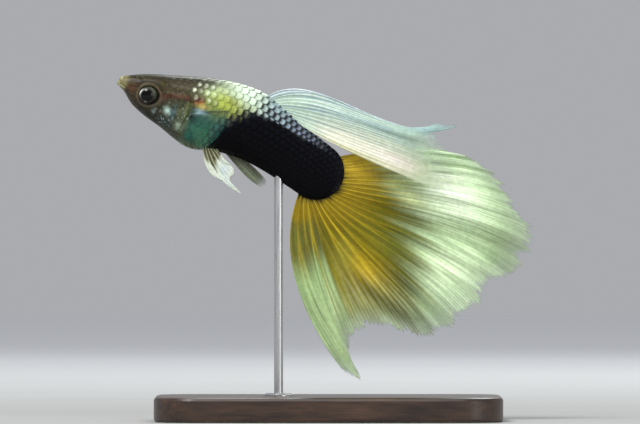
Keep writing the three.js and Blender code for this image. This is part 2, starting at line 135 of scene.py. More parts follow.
def section(s, a):
    """The body's radius at distance s and angle a round the midline, and that point's height, -1 to 1."""
    share = np.clip((s - ROOT_START) / ROOT_REACH, 0, 1)
    above = np.sin(a) >= 0
    height = np.maximum(np.where(above, along(BACK, s), along(BELLY, s)) * np.sqrt(1 - share**2), 0.02)
    power = np.where(above, along(SQUARE_TOP, s), along(SQUARE_LOW, s))
    c, d = np.abs(np.cos(a)) / along(WIDTH, s), np.abs(np.sin(a)) / height
    radius = (c**power + d**power) ** (-1 / power)
    return radius, radius * np.sin(a) / height


def skin_point(s, a, proud=0.0):
    s, a = np.broadcast_arrays(np.asarray(s, float), np.asarray(a, float))
    radius = section(s, a)[0] + proud
    return in_body(s, radius * np.cos(a), radius * np.sin(a))


def gill_edge(a):
    return GILL_TOP + GILL_BULGE * np.abs(np.cos(a)) ** 1.3 - 0.25 * np.sin(a)


# Arc length round the body, quarter by quarter, so that rows of scales keep even widths
QUARTERS = 4
RING_STEP = 0.25
RING_S = np.arange(0, BODY_LENGTH + 0.01, RING_STEP)
LAST_RING = 29.4  # rings nearer the end would be too small to measure
SHARES = np.linspace(0, 1, 33)
angle_table = np.zeros((len(RING_S), QUARTERS, len(SHARES)))
for quarter in range(QUARTERS):
    fine = np.linspace(quarter, quarter + 1, 121) * math.pi / 2
    ring = skin_point(np.minimum(RING_S, LAST_RING)[:, None], fine[None, :])
    length = np.concatenate(
        [np.zeros((len(RING_S), 1)), np.cumsum(np.linalg.norm(np.diff(ring, axis=1), axis=2), axis=1)], axis=1
    )
    for r in range(len(RING_S)):
        angle_table[r, quarter] = np.interp(SHARES, length[r] / length[r, -1], fine)


def angle_of(s, q):
    """The angle round the midline at share q of the way round, where quarters are at 0.25, 0.5 and 0.75."""
    s, q = np.broadcast_arrays(np.asarray(s, float), np.asarray(q, float) % 1.0)
    quarter = np.minimum((q * QUARTERS).astype(int), QUARTERS - 1)
    share = (q * QUARTERS - quarter) * (len(SHARES) - 1)
    row = np.clip(s / RING_STEP, 0, len(RING_S) - 1.001)
    i, j = row.astype(int), np.minimum(share.astype(int), len(SHARES) - 2)
    f, g = row - i, share - j
    low = angle_table[i, quarter, j] * (1 - g) + angle_table[i, quarter, j + 1] * g
    high = angle_table[i + 1, quarter, j] * (1 - g) + angle_table[i + 1, quarter, j + 1] * g
    return low * (1 - f) + high * f


# Colours: named regions laid over each other, in body terms (s from the snout, t from belly -1 to back 1)
def linear(c):
    c = np.asarray(c, float)
    return np.where(c <= 0.04045, c / 12.92, ((c + 0.055) / 1.055) ** 2.4)


def over(base, colour, weight):
    return blend(base, linear(colour), np.clip(weight, 0, 1))


def plain(like, colour):
    return np.zeros(like.shape + (3,)) + linear(colour)


def blend(a, b, weight):
    w = weight[..., None]
    return a * (1 - w) + b * w


def layered(base, layers):
    for colour, weight in layers:
        base = over(base, colour, weight)
    return base


def region(s, t, at, size):
    return np.exp(-(((s - at[0]) / size[0]) ** 2) - ((t - at[1]) / size[1]) ** 2)


def cloud(x, y, cells_x, cells_y, seed):
    """Soft random values from -1 to 1 over the unit square, repeating in y."""
    lattice = np.random.default_rng(seed).uniform(-1, 1, (cells_x + 2, cells_y))
    fx, fy = np.clip(x, 0, 1) * cells_x, (y % 1.0) * cells_y
    i, j = fx.astype(int), fy.astype(int) % cells_y
    u, v = smooth(fx - i, 0, 1), smooth(fy - np.floor(fy), 0, 1)
    k = (j + 1) % cells_y
    low = lattice[i, j] * (1 - v) + lattice[i, k] * v
    high = lattice[i + 1, j] * (1 - v) + lattice[i + 1, k] * v
    return low * (1 - u) + high * u


BLACK_EDGE = [
    (-1, 12.9), (-0.6, 13.1), (-0.3, 13.8), (0, 14.8), (0.2, 15.8), (0.35, 16.3), (0.47, 17.9), (0.58, 21.0),
    (0.74, 25.4), (1, 30),
]


def blackness(s, t):
    """How far the black half has taken over: 0 in front, 1 behind, with a light veil over the hind back."""
    start = along(BLACK_EDGE, t)
    veil = 0.42 * smooth(s, 15, 18.5) + 0.36 * smooth(s, 22, 28)
    fin_root = 1 - 0.75 * bump(s, 18.4, 1.5) * smooth(t, 0.72, 0.94)
    return np.maximum(smooth(s, start - 2.9, start + 2.0), veil * smooth(t, 0.1, 0.5)) * fin_root


# Colour, place, reach and strength of each mark on the head and flank
MARKS = [
    ((0.31, 0.19, 0.11), (1.5, -0.2), (0.9, 0.5), 0.9),  # red-brown corner of the mouth
    ((0.31, 0.15, 0.09), (2.6, -1.0), (1.3, 0.14), 0.8),  # reddish edge of the jaw
    ((0.25, 0.205, 0.13), (3.5, -0.55), (2.2, 0.4), 0.75),  # flesh-coloured cheek
    ((0.25, 0.17, 0.11), (5.3, -0.02), (0.8, 0.2), 0.8),  # pink skin behind the eye
    ((0.13, 0.145, 0.10), (4.8, -0.95), (2.6, 0.36), 0.95),  # grey throat, darkened further by painted shade under the head
    ((0.52, 0.58, 0.58), (5.0, -0.6), (0.26, 0.10), 0.9),  # small silver spot
    ((0.66, 0.76, 0.72), (6.5, -0.36), (0.42, 0.11), 1.2),  # bright silver patch
    ((0.27, 0.37, 0.39), (7.25, -0.34), (0.34, 0.22), 0.9),  # blue beside it
    ((0.16, 0.22, 0.23), (6.6, -0.72), (0.9, 0.15), 0.85),  # blue-grey below it
    ((0.32, 0.34, 0.25), (8.2, -0.2), (0.6, 0.4), 0.6),  # speckled gill cover
    ((0.40, 0.45, 0.26), (8.9, -0.1), (0.3, 0.5), 0.7),  # green edge of the gill cover
    ((0.58, 0.66, 0.56), (8.4, -0.6), (0.5, 0.12), 0.9),  # pale streaks at its lower edge
    ((0.02, 0.06, 0.06), (9.8, -0.25), (0.5, 0.10), 1.3),  # painted shade in the pit behind the breast fin's root
    ((0.58, 0.66, 0.38), (12.0, 0.35), (1.6, 0.35), 0.8),  # green-white shoulder
    ((0.63, 0.68, 0.28), (13.2, 0.38), (2.0, 0.26), 1.1),  # lime patch
    ((0.80, 0.46, 0.24), (10.1, 0.21), (0.55, 0.08), 0.9),  # orange streak
    ((0.78, 0.72, 0.38), (10.5, 0.11), (0.7, 0.07), 0.9),  # yellow below it
    ((0.72, 0.86, 0.92), (10.7, -0.02), (0.7, 0.06), 0.9),  # blue-white below that
]


def pale_colour(s, t):
    """The body's colour as it would be without the black half."""
    c = layered(plain(s, (0.25, 0.26, 0.19)), (
        ((0.21, 0.18, 0.08), smooth(t, -0.15, 0.3) * fade(s, 9, 11.5)),
        ((0.155, 0.145, 0.06), smooth(t, 0.7, 0.98) * fade(s, 9.5, 12)),
        ((0.64, 0.70, 0.52), smooth(s - 1.9 * smooth(t, 0.6, 0.9), 9.2, 12) * smooth(t, 0.3, 0.6)),
        ((0.10, 0.33, 0.28), smooth(s, 8.9, 9.8) * fade(t, -0.3, 0.15)),
        ((0.13, 0.36, 0.20), region(s, t, (12, -0.62), (1.4, 0.3)) * 0.8),
        ((0.28, 0.34, 0.20), smooth(-t, 0.78, 0.97) * smooth(s, 8, 10)),
        ((0.82, 0.90, 0.80), region(s, t, (15.6, 0.8), (2.8, 0.3)) * 1.3),
    ))
    c = layered(c, ((colour, region(s, t, at, size) * strength) for colour, at, size, strength in MARKS))
    line = 0.1 + 0.14 * smooth(s, 5, 7.5) + 0.1 * smooth(s, 9, 10.6)
    red = bump(t, line, 0.085) * smooth(s, 4.9, 5.5) * fade(s, 9.8, 11)
    broken = 0.75 + 0.5 * cloud(s / MAP_LENGTH, t / 2 + 0.5, 70, 24, 25)
    return layered(c, (
        ((0.33, 0.155, 0.10), red * broken * (1 - 0.4 * bump(s, 7.6, 0.8))),
        ((0.56, 0.64, 0.65), smooth(s, 16, 18.5)),
        ((0.41, 0.45, 0.53), smooth(s, 18.5, 22) * 0.85),
        ((0.22, 0.25, 0.28), smooth(s, 22.5, 27)),
    ))


NAVY = linear((0.035, 0.045, 0.075))
BLACK = linear((0.018, 0.018, 0.028))


def body_colour(s, t):
    b = blackness(s, t)
    return blend(pale_colour(s, t), blend(NAVY, BLACK, smooth(b, 0.7, 1)), b)


# Meshes and materials
def to_scene(name, data):
    piece = bpy.data.objects.new(name, data)
    bpy.context.scene.collection.objects.link(piece)
    return piece


def add_mesh(name, points, faces, tint, uv=None, clear=None):
    mesh = bpy.data.meshes.new(name)
    mesh.from_pydata((points * MM).tolist(), [], faces)
    attribute = mesh.color_attributes.new("tint", "FLOAT_COLOR", "POINT")
    rgba = np.ones((len(points), 4))
    rgba[:, :3] = np.clip(tint, 0, 1)
    attribute.data.foreach_set("color", rgba.ravel())
    if clear is not None:
        layer = mesh.attributes.new("clear", "FLOAT", "POINT")
        layer.data.foreach_set("value", np.asarray(clear, float))
    if uv is not None:
        layer = mesh.uv_layers.new(name="OFBake")
        layer.data.foreach_set("uv", uv.ravel())
    mesh.polygons.foreach_set("use_smooth", [True] * len(mesh.polygons))
    mesh.update()
    return to_scene(name, mesh)


def settle(piece, material, slot, *nodes):
    piece.data.materials.clear()
    piece.data.materials.append(material)
    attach(piece, "root")
    if nodes:
        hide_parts(*nodes)
    return piece


class Nodes:
    """A small helper that builds a material's node tree."""

    def __init__(self, name):
        self.material = bpy.data.materials.new(name)
        self.material.use_nodes = True
        self.tree = self.material.node_tree
        self.shader = self.tree.nodes["Principled BSDF"]
        self.place = self.add("ShaderNodeTexCoord").outputs["Object"]

    def add(self, kind, **settings):
        node = self.tree.nodes.new(kind)
        for key, value in settings.items():
            setattr(node, key, value)
        return node

    def link(self, a, b):
        self.tree.links.new(a, b)

    def set(self, **sockets):
        for key, value in sockets.items():
            self.shader.inputs[key.replace("_", " ")].default_value = value

    def noise(self, size_mm, detail=3.0, rough=0.55, stretch=None):
        node = self.add("ShaderNodeTexNoise")
        node.inputs["Scale"].default_value = 1 / (size_mm * MM)
        node.inputs["Detail"].default_value = detail
        node.inputs["Roughness"].default_value = rough
        source = self.place
        if stretch:
            mapping = self.add("ShaderNodeMapping")
            mapping.inputs["Scale"].default_value = stretch
            self.link(source, mapping.inputs["Vector"])
            source = mapping.outputs["Vector"]
        self.link(source, node.inputs["Vector"])
        return node.outputs["Fac"]

    def span(self, value, low, high, start=0.3, end=0.7):
        node = self.add("ShaderNodeMapRange")
        for key, number in (("From Min", start), ("From Max", end), ("To Min", low), ("To Max", high)):
            node.inputs[key].default_value = number
        self.link(value, node.inputs["Value"])
        return node.outputs["Result"]

    def mix(self, kind, factor, a, b):
        node = self.add("ShaderNodeMix", data_type="RGBA", blend_type=kind)
        for socket, value in ((node.inputs["Factor"], factor), (node.inputs[6], a), (node.inputs[7], b)):
            if isinstance(value, (int, float, tuple)):
                socket.default_value = value if not isinstance(value, tuple) else (*value, 1)
            else:
                self.link(value, socket)
        return node.outputs[2]

    def grey(self, value):
        """A scalar as a colour, to multiply with."""
        node = self.add("ShaderNodeCombineColor")
        for k in range(3):
            self.link(value, node.inputs[k])
        return node.outputs["Color"]

    def base(self, colour):
        self.link(colour, self.shader.inputs["Base Color"])

    def uneven(self, colour, value):
        self.base(self.mix("MULTIPLY", 1.0, colour, self.grey(value)))

    def uneven_tint(self, value, low, high):
        """The mesh's own colours, made uneven by a noise."""
        tint = self.add("ShaderNodeVertexColor", layer_name="tint").outputs["Color"]
        self.uneven(tint, self.span(value, low, high))

    def roughness(self, value, low, high):
        self.link(self.span(value, low, high), self.shader.inputs["Roughness"])

    def bump(self, value, strength, depth_mm):
        node = self.add("ShaderNodeBump")
        node.inputs["Strength"].default_value = strength
        node.inputs["Distance"].default_value = depth_mm * MM
        self.link(value, node.inputs["Height"])
        self.link(node.outputs["Normal"], self.shader.inputs["Normal"])


def skin_material():
    n = Nodes("moist_skin")
    n.uneven_tint(n.noise(0.35, 4, 0.65), 0.72, 1.22)
    n.roughness(n.noise(0.6), 0.36, 0.56)
    n.bump(n.noise(0.16, 3), 0.5, 0.05)
    n.set(Coat_Weight=0.05, Coat_Roughness=0.2, Specular_IOR_Level=0.2)
    n.set(Subsurface_Weight=0.1, Subsurface_Radius=(1.0, 0.6, 0.4), Subsurface_Scale=0.4 * MM)
    return n.material


def scale_material(name, metallic, coat, specular):
    n = Nodes(name)
    n.uneven_tint(n.noise(0.12, 3, 0.6), 0.8, 1.18)
    n.roughness(n.noise(0.5), 0.28, 0.46)
    n.bump(n.noise(0.07, 2, 0.5, (1, 1, 3)), 0.35, 0.02)
    n.set(Metallic=metallic, Coat_Weight=coat, Coat_Roughness=0.15, Specular_IOR_Level=specular)
    return n.material


def fin_material():
    n = Nodes("rayed_fin")
    n.uneven_tint(n.noise(0.5, 4, 0.6), 0.86, 1.12)
    n.roughness(n.noise(0.8), 0.32, 0.54)
    clear = n.add("ShaderNodeAttribute", attribute_name="clear")
    n.link(clear.outputs["Fac"], n.shader.inputs["Alpha"])
    n.bump(n.noise(0.2, 3), 0.25, 0.02)
    n.set(Specular_IOR_Level=0.18)
    n.set(Subsurface_Weight=0.25, Subsurface_Radius=(1.0, 1.0, 0.8), Subsurface_Scale=0.6 * MM)
    return n.material


def eye_material():
    n = Nodes("wet_eye")
    n.uneven_tint(n.noise(0.1, 3), 0.8, 1.2)
    n.roughness(n.noise(0.3), 0.1, 0.2)
    n.set(Coat_Weight=0.16, Coat_Roughness=0.03, Specular_IOR_Level=0.15)
    return n.material


def wood_material():
    n = Nodes("dark_walnut")
    grain = n.noise(1.1, 6, 0.62, (0.12, 1.0, 1.0))
    pores = n.noise(0.16, 3, 0.5, (0.06, 1.0, 1.0))
    ramp = n.add("ShaderNodeValToRGB")
    ramp.color_ramp.elements[0].position = 0.32
    ramp.color_ramp.elements[0].color = (0.016, 0.008, 0.005, 1)
    ramp.color_ramp.elements[1].position = 0.68
    ramp.color_ramp.elements[1].color = (0.075, 0.036, 0.019, 1)
    n.link(grain, ramp.inputs["Fac"])
    n.uneven(ramp.outputs["Color"], n.span(pores, 0.75, 1.1, 0.35, 0.6))
    n.roughness(grain, 0.34, 0.48)
    n.bump(pores, 0.3, 0.04)
    n.set(Coat_Weight=0.25, Coat_Roughness=0.2)
    return n.material


def rod_material():
    n = Nodes("brushed_steel")
    lines = n.noise(0.12, 2, 0.5, (1.0, 1.0, 0.03))
    n.base(n.grey(n.span(lines, 0.5, 0.66)))
    n.roughness(lines, 0.24, 0.4)
    n.bump(lines, 0.15, 0.01)
    n.set(Metallic=1.0)
    return n.material


# Head relief: gill cover, cheek groove, throat strips, eye socket and nostrils
SOCKET_DEPTH = 0.62
NOSTRILS = [(1.5, 52), (2.2, 47)]  # distance from the snout and degrees up


def eye_frame(side):
    back, aside, up = (np.asarray(v, float) for v in axes_at(np.array(EYE[0])))
    centre = in_body(EYE[0], side * EYE_SIDE, EYE[1])
    return centre, back, aside * side, up


def round_eye(points, side):
    """How far points lie from the eye's middle, in its radii, and whether they are on its side."""
    centre, back, aside, up = eye_frame(side)
    d = points - centre
    return np.hypot((d @ back) / EYE_RADII[0], (d @ up) / EYE_RADII[2]), (d @ aside) > -0.6


def head_relief(s, a, points):
    on_side = smooth(np.abs(np.cos(a)), 0.25, 0.7) * fade(np.sin(a), 0.25, 0.6)
    edge = gill_edge(a)
    low = smooth(-np.sin(a), -0.45, 0.2)
    cover = 0.24 * on_side * smooth(s, 5.2, edge - 0.4) * fade(s, edge - 0.02, edge + 0.16)
    behind = -0.06 * on_side * bump(s, edge + 0.22, 0.16)
    groove_at = 6.1 + 0.9 * np.sin(a)
    groove = -0.12 * on_side * low * bump(s, groove_at, 0.2)
    lift = 0.06 * on_side * low * bump(s, groove_at - 0.45, 0.3)
    strips = -0.03 * smooth(-np.sin(a), 0.3, 0.6) * smooth(s, 6.6, 7.2) * (s < edge)
    strips = strips * (0.5 + 0.5 * np.cos(s * 14))
    relief = cover + behind + groove + lift + strips
    for side in (1, -1):
        rho, near = round_eye(points, side)
        socket = -SOCKET_DEPTH * fade(rho, 0.84, 1.0)
        socket = socket + 0.07 * bump(rho, 1.12, 0.09) - 0.05 * bump(rho, 1.34, 0.12)
        relief = np.where(near & (rho < 1.9), relief + socket, relief)
        for at, degrees in NOSTRILS:
            turn = math.radians(degrees if side > 0 else 180 - degrees)
            pit = skin_point(at, turn)
            gap = np.linalg.norm(points - pit, axis=-1)
            relief = relief - 0.16 * bump(gap, 0, 0.11) + 0.04 * bump(gap, 0.22, 0.07)
    return relief


def coat_room(s, t):
    """How deep the skin lies below the solids' surface, so that the scales fit on it."""
    nape = smooth(s, 4.4, 5.4) * smooth(t, 0.2, 0.36)
    return SKIN_DEPTH * np.maximum(smooth(s, 7.5, 10), nape)


def rings_of(edges):
    """Places of rings along the body, from rows of start, end and step."""
    parts = [np.arange(a, b, step) for a, b, step in edges]
    return np.concatenate(parts + [[edges[-1][1]]])


def loft_faces(rings, sides):
    r, k = np.meshgrid(np.arange(rings - 1), np.arange(sides), indexing="ij")
    n = (k + 1) % sides
    quads = np.stack([r * sides + k, r * sides + n, (r + 1) * sides + n, (r + 1) * sides + k], -1)
    first, last = rings * sides, rings * sides + 1
    start = (rings - 1) * sides
    faces = quads.reshape(-1, 4).tolist()
    faces += [[first, (i + 1) % sides, i] for i in range(sides)]
    faces += [[last, start + i, start + (i + 1) % sides] for i in range(sides)]
    return faces


SKIN_TURN = 0.9  # the part of the map's height that one turn round the body takes


def corner_map(uv, faces, rings, sides, turn):
    """The map at each face corner. The last faces round go on past the seam, not back over the others."""
    corners = uv[np.array([i for face in faces for i in face])]
    quads = corners[:(rings - 1) * sides * 4].reshape(rings - 1, sides, 4, 2)
    quads[:, -1, 1:3, 1] += turn
    return corners


def shell(s_rings, sides):
    s, q = np.meshgrid(s_rings, np.arange(sides) / sides, indexing="ij")
    a = angle_of(s, q)
    flat = skin_point(s, a)
    relief = head_relief(s, a, flat)
    t = section(s, a)[1]
    points = skin_point(s, a, relief - coat_room(s, t))
    tint = body_colour(s, t)

    def grain(cells_along, cells_round, seed):
        return cloud(s / MAP_LENGTH, q, cells_along, cells_round, seed)

    blotch = grain(84, 56, 21) + 0.8 * grain(190, 120, 22)
    tint = tint * (1 + 0.42 * blotch * fade(s, 10, 12))[..., None]
    crown = smooth(t, 0.25, 0.6) * fade(s, 9, 11)
    tint = over(tint, (0.13, 0.12, 0.08), smooth(grain(60, 40, 23), 0.0, 0.7) * crown * 0.65)
    sparkle = smooth(grain(150, 96, 24), 0.1, 0.8) * smooth(grain(230, 150, 26), 0, 0.6)
    cheek = smooth(s, 4.8, 6.2) * fade(s, 9.4, 10)
    cheek = cheek * smooth(-t, -0.1, 0.15) * fade(-t, 0.8, 0.95)
    tint = over(tint, (0.70, 0.76, 0.71), sparkle * cheek * 0.7)
    tint = over(tint, (0.70, 0.66, 0.36), sparkle * bump(t, 0.42, 0.14) * bump(s, 7.0, 1.0) * 0.6)
    # painted shade: the head's skin is darkened where its relief sinks, in the grooves, pits, eye sockets and
    # behind the gill cover
    crease_shade = np.clip(-relief / 0.16, 0, 1) * (s < 10)
    tint = tint * (1 - 0.55 * crease_shade[..., None])
    tint = over(tint, (0.52, 0.49, 0.34), fade(s, 0.4, 1.2) * 0.85)
    for side in (1, -1):
        rho, near = round_eye(flat, side)
        # painted shade on the skin inside the eye socket, round the eyeball
        tint = over(tint, (0.10, 0.10, 0.09), near * fade(rho, 0.92, 1.04))
        tint = over(tint, (0.56, 0.48, 0.38), near * bump(rho, 1.14, 0.1) * 0.2)
    ends = np.array([in_body(s_rings[0], 0, 0), in_body(s_rings[-1], 0, 0)])
    tints = np.vstack([tint.reshape(-1, 3), tint[0, 0], tint[-1, 0]])
    uv = np.stack([MAP_EDGE + 0.96 * s / MAP_LENGTH, q * SKIN_TURN + MAP_EDGE], -1).reshape(-1, 2)
    uv = np.vstack([uv, uv[0], uv[-1]])
    faces = loft_faces(len(s_rings), sides)
    uv = corner_map(uv, faces, len(s_rings), sides, SKIN_TURN)
    return np.vstack([points.reshape(-1, 3), ends]), faces, tints, uv


LIP_RADIUS = 0.3
LIP_TURN = 0.02  # the part of the map's height that one turn round a lip takes
# Of each lip the corner, the turn and the front in body terms, and where its band of the map starts
LIPS = [
    ((1.35, 1.02, -0.2), (0.5, 0.66, 0.26), (0.16, 0, 0.5), 0.935),
    ((1.35, 1.0, -0.42), (0.46, 0.62, -0.2), (0.06, 0, -0.06), 0.965),
]


def lip(corner, turn, front, band):
    others = [(s, -side, height) for s, side, height in (turn, corner)]
    knots = np.array([in_body(*place) for place in (corner, turn, front, *others)])
    spans = np.linspace(0, 4, 61)
    path = np.stack([along(list(zip(range(5), knots[:, k])), spans) for k in range(3)], -1)
    tangent = np.gradient(path, axis=0)
    tangent /= np.linalg.norm(tangent, axis=1)[:, None]
    up = axes_at(np.array(0.5))[2]
    side = np.cross(tangent, up)
    side /= np.linalg.norm(side, axis=1)[:, None]
    rise = np.cross(side, tangent)
    t = spans / 4
    sides = 24
    a = np.arange(sides) / sides * 2 * math.pi
    size = LIP_RADIUS * np.sin(math.pi * np.clip(t, 0.02, 0.98)) ** 0.4
    size = size * (1 + 0.03 * np.sin(60 * t))
    ring = path[:, None] + side[:, None] * (size[:, None] * np.cos(a))[..., None]
    ring = ring + rise[:, None] * (size[:, None] * np.sin(a))[..., None]
    ring = ring[1:-1][:, ::-1]
    points = np.vstack([ring.reshape(-1, 3), path[:1], path[-1:]])
    tint = plain(points[:, 0], (0.64, 0.63, 0.46))
    share = np.append(np.repeat(t[1:-1], sides), [0, 1])
    tint = over(tint, (0.42, 0.28, 0.18), fade(np.sin(math.pi * share), 0.1, 0.65))
    faces = loft_faces(len(ring), sides)
    place, around = np.meshgrid(t[1:-1], np.arange(sides) / sides, indexing="ij")
    uv = np.stack([0.1 + 0.6 * place, band + LIP_TURN * around], -1).reshape(-1, 2)
    uv = corner_map(np.vstack([uv, uv[0], uv[-1]]), faces, len(ring), sides, LIP_TURN)
    return points, faces, tint, uv


skin_rings = rings_of([(0, 3, 0.05), (3, 9.6, 0.065), (9.6, 28, 0.16), (28, BODY_LENGTH, 0.06)])
points, faces, tints, uvs = shell(skin_rings, 220)
for measures in LIPS:
    p, f, c, m = lip(*measures)
    faces += [[i + len(points) for i in face] for face in f]
    points, tints, uvs = np.vstack([points, p]), np.vstack([tints, c]), np.vstack([uvs, m])
skin = add_mesh("guppy_skin", points, faces, tints, uvs)
settle(skin, skin_material(), "trunk_skin", "head", "trunk", "tail_stalk")

# Scales: overlapping plates in staggered rows, each raised a little at its hind edge
SCALE_ROWS = 24
SCALE_STEP = 0.84
SCALE_LENGTH = 1.4
LAST_SEAT = 29.5
BLACK_SEAT = 0.62  # how far the black half has taken over where the black scales start
PATCH_LENGTH = 0.024  # on the bake map
PATCH_WIDTH = 0.92  # in spaces between rows
# Places of a scale's corners across it and along it. The doubled ones at the edges are its skirt.
ACROSS = np.array([-1, -1, -0.84, -0.62, -0.4, -0.2, 0, 0.2, 0.4, 0.62, 0.84, 1, 1])
ALONG = np.array([0, 0.25, 0.42, 0.54, 0.64, 0.74, 0.83, 0.9, 0.95, 0.985, 1.0, 1.0])


def scale_size(s):
    """The scales grow smaller towards the tail."""
    return 1 - 0.24 * smooth(s, 15, 26)


def scale_seats():
    seats = []
    for row in range(SCALE_ROWS):
        q = (row + 0.5) / SCALE_ROWS
        angle = float(angle_of(9.0, q))
        start = float(gill_edge(angle)) + 0.5
        if math.sin(angle) > 0.3:
            start = 5.4 + 1.4 * (1 - math.sin(angle))
        s = start - (start % SCALE_STEP) + SCALE_STEP * (1 + 0.5 * (row % 2))
        while s < LAST_SEAT:
            seats.append((s, q))
            s += SCALE_STEP * float(scale_size(s))
    return np.array(seats)


def scale_shapes(seats):
    """Corners of all scales, with each corner's place on its own scale (x across, r along)."""
    x, r = np.meshgrid(ACROSS, ALONG, indexing="ij")
    skirt = np.zeros_like(x)
    skirt[[0, -1], :] = 1
    skirt[:, -1] = 1
    round_end = np.where(r < 0.4, 0.86 + 0.35 * r, np.sqrt(np.clip(1 - ((r - 0.4) / 0.6) ** 2, 0.0, 1)))
    seat_s, seat_q = seats[:, 0, None, None], seats[:, 1, None, None]
    s = np.minimum(seat_s + (r - 0.6) * SCALE_LENGTH * scale_size(seat_s), BODY_LENGTH - 0.12)
    q = seat_q + x * np.maximum(round_end, 0.02) * 0.64 / SCALE_ROWS
    a = angle_of(s, q)
    t = section(s, a)[1]
    seat_t = section(seats[:, 0], angle_of(seats[:, 0], seats[:, 1]))[1][:, None, None] + 0 * x
    strength = 0.35 + 0.65 * smooth(seat_s, 7, 11)
    lift = 0.115 * r**1.4 + 0.03 * (1 - x**2)
    jitter = rng.normal(0, 1, (len(seats), 1, 1))
    proud = -coat_room(seat_s, seat_t) - 0.02 + strength * (lift + 0.006 * jitter * r) - 0.09 * skirt
    return x, r, s, q, t, seat_t, skin_point(s, a, proud)


def scale_tints(seats, x, r, s, q, t, seat_t):
    """A pale cell on a dark net: the cells shrink as the black half takes over."""
    seat_s = seats[:, 0, None, None] + 0 * x
    own = pale_colour(seat_s + 0.1, seat_t)
    shared = pale_colour(s, t)
    nape = smooth(seat_t, 0.15, 0.4) * smooth(seat_s, 7.4, 8.4) * fade(seat_s, 11, 12.5)
    luck = rng.uniform(0, 1, (len(seats), 1, 1))
    more = 0.3 * smooth(seat_s, 8, 10.5)
    fleck = nape * (1 - 0.7 * smooth(seat_t, 0.78, 0.92)) * smooth(luck, 0.62 - more, 0.75 - more)
    pale = own * 0.3 + shared * 0.7
    pale = pale * (1 + 0.1 * rng.normal(0, 1, (len(seats), 1, 1, 1)))
    b = blackness(s, t) + 0.05 * np.clip(rng.normal(0, 1, (len(seats), 1, 1)), -1, 1)
    b = np.clip(b, 0, 1)
    margin = np.maximum(np.abs(x) ** 1.6, (r - 0.3) / 0.7)
    width = 0.03 + 0.52 * b
    cell = fade(margin, 0.86 - width, 1.0 - width)
    rim = bump(margin, 0.78 - width, 0.22) * smooth(b, 0.12, 0.35)
    cell = cell * smooth(r, 0.2 + 0.3 * b, 0.4 + 0.35 * b) * fade(b, 0.62, 0.92)
    core = np.hypot(x / 0.84, (r - 0.72) / 0.3)
    glint = np.clip(0.65 + 0.6 * cloud(s / MAP_LENGTH, q, 150, 90, 27), 0, 1)
    disc = fade(np.hypot(x / 0.95, (r - 0.74) / 0.24), 0.3, 1.0)
    pale = over(pale, (0.80, 0.84, 0.72), fleck * glint * disc)
    net_strength = 0.24 + 0.6 * smooth(seat_s, 12.5, 16)
    net = pale * (1 - net_strength)[..., None]
    net = blend(net, blend(NAVY, BLACK, smooth(b, 0.7, 1)), smooth(b, 0.05, 0.4))
    bright = (1 + 0.2 * bump(core, 0, 0.5))[..., None]
    dim = (1 - 0.68 * smooth(b, 0.2, 0.75)) * (1 - 0.25 * smooth(b, 0.15, 0.4) + 0.75 * rim)
    bright = bright * dim[..., None]
    tint = net * (1 - cell[..., None]) + pale * cell[..., None] * bright
    # painted sheen: a faint blue reflection on the middles of the black scales, stronger up the flank
    sheen = bump(core, 0, 0.8) * smooth(b, 0.7, 0.95) * smooth(t, -0.7, 0.6)
    return tint + linear((0.13, 0.14, 0.22)) * (sheen * 0.12)[..., None]


def add_scales(name, seats, look, slot):
    x, r, s, q, t, seat_t, points = scale_shapes(seats)
    tint = scale_tints(seats, x, r, s, q, t, seat_t)
    nx, nr = x.shape
    i, j = np.meshgrid(np.arange(nx - 1), np.arange(nr - 1), indexing="ij")
    quad = np.stack([i * nr + j, i * nr + j + 1, (i + 1) * nr + j + 1, (i + 1) * nr + j], -1).reshape(-1, 4)
    faces = (quad[None] + (np.arange(len(seats)) * nx * nr)[:, None, None]).reshape(-1, 4)
    seat_s, seat_q = seats[:, 0, None, None], seats[:, 1, None, None]
    patch_u = MAP_EDGE + 0.94 * seat_s / MAP_LENGTH + PATCH_LENGTH * r * scale_size(seat_s)
    patch_v = MAP_EDGE + 0.94 * (seat_q + PATCH_WIDTH / 2 / SCALE_ROWS * x)
    uv = np.stack(np.broadcast_arrays(patch_u, patch_v), -1).reshape(-1, 2)
    piece = add_mesh(name, points.reshape(-1, 3), faces.tolist(), tint.reshape(-1, 3), uv[faces])
    return settle(piece, look, slot)


all_seats = scale_seats()
seat_heights = section(all_seats[:, 0], angle_of(all_seats[:, 0], all_seats[:, 1]))[1]
in_black = blackness(all_seats[:, 0], seat_heights) > BLACK_SEAT
shining = scale_material("shining_scales", metallic=0.25, coat=0.15, specular=0.4)
black = scale_material("black_scales", metallic=0.0, coat=0.0, specular=0.06)
add_scales("guppy_scales_pale", all_seats[~in_black], shining, "trunk_skin")
add_scales("guppy_scales_black", all_seats[in_black], black, "stalk_skin")

# Eyes
PUPIL = (-0.24, -0.08)  # the pupil's middle from the eye's middle, backwards and up
PUPIL_RADIUS = 0.7


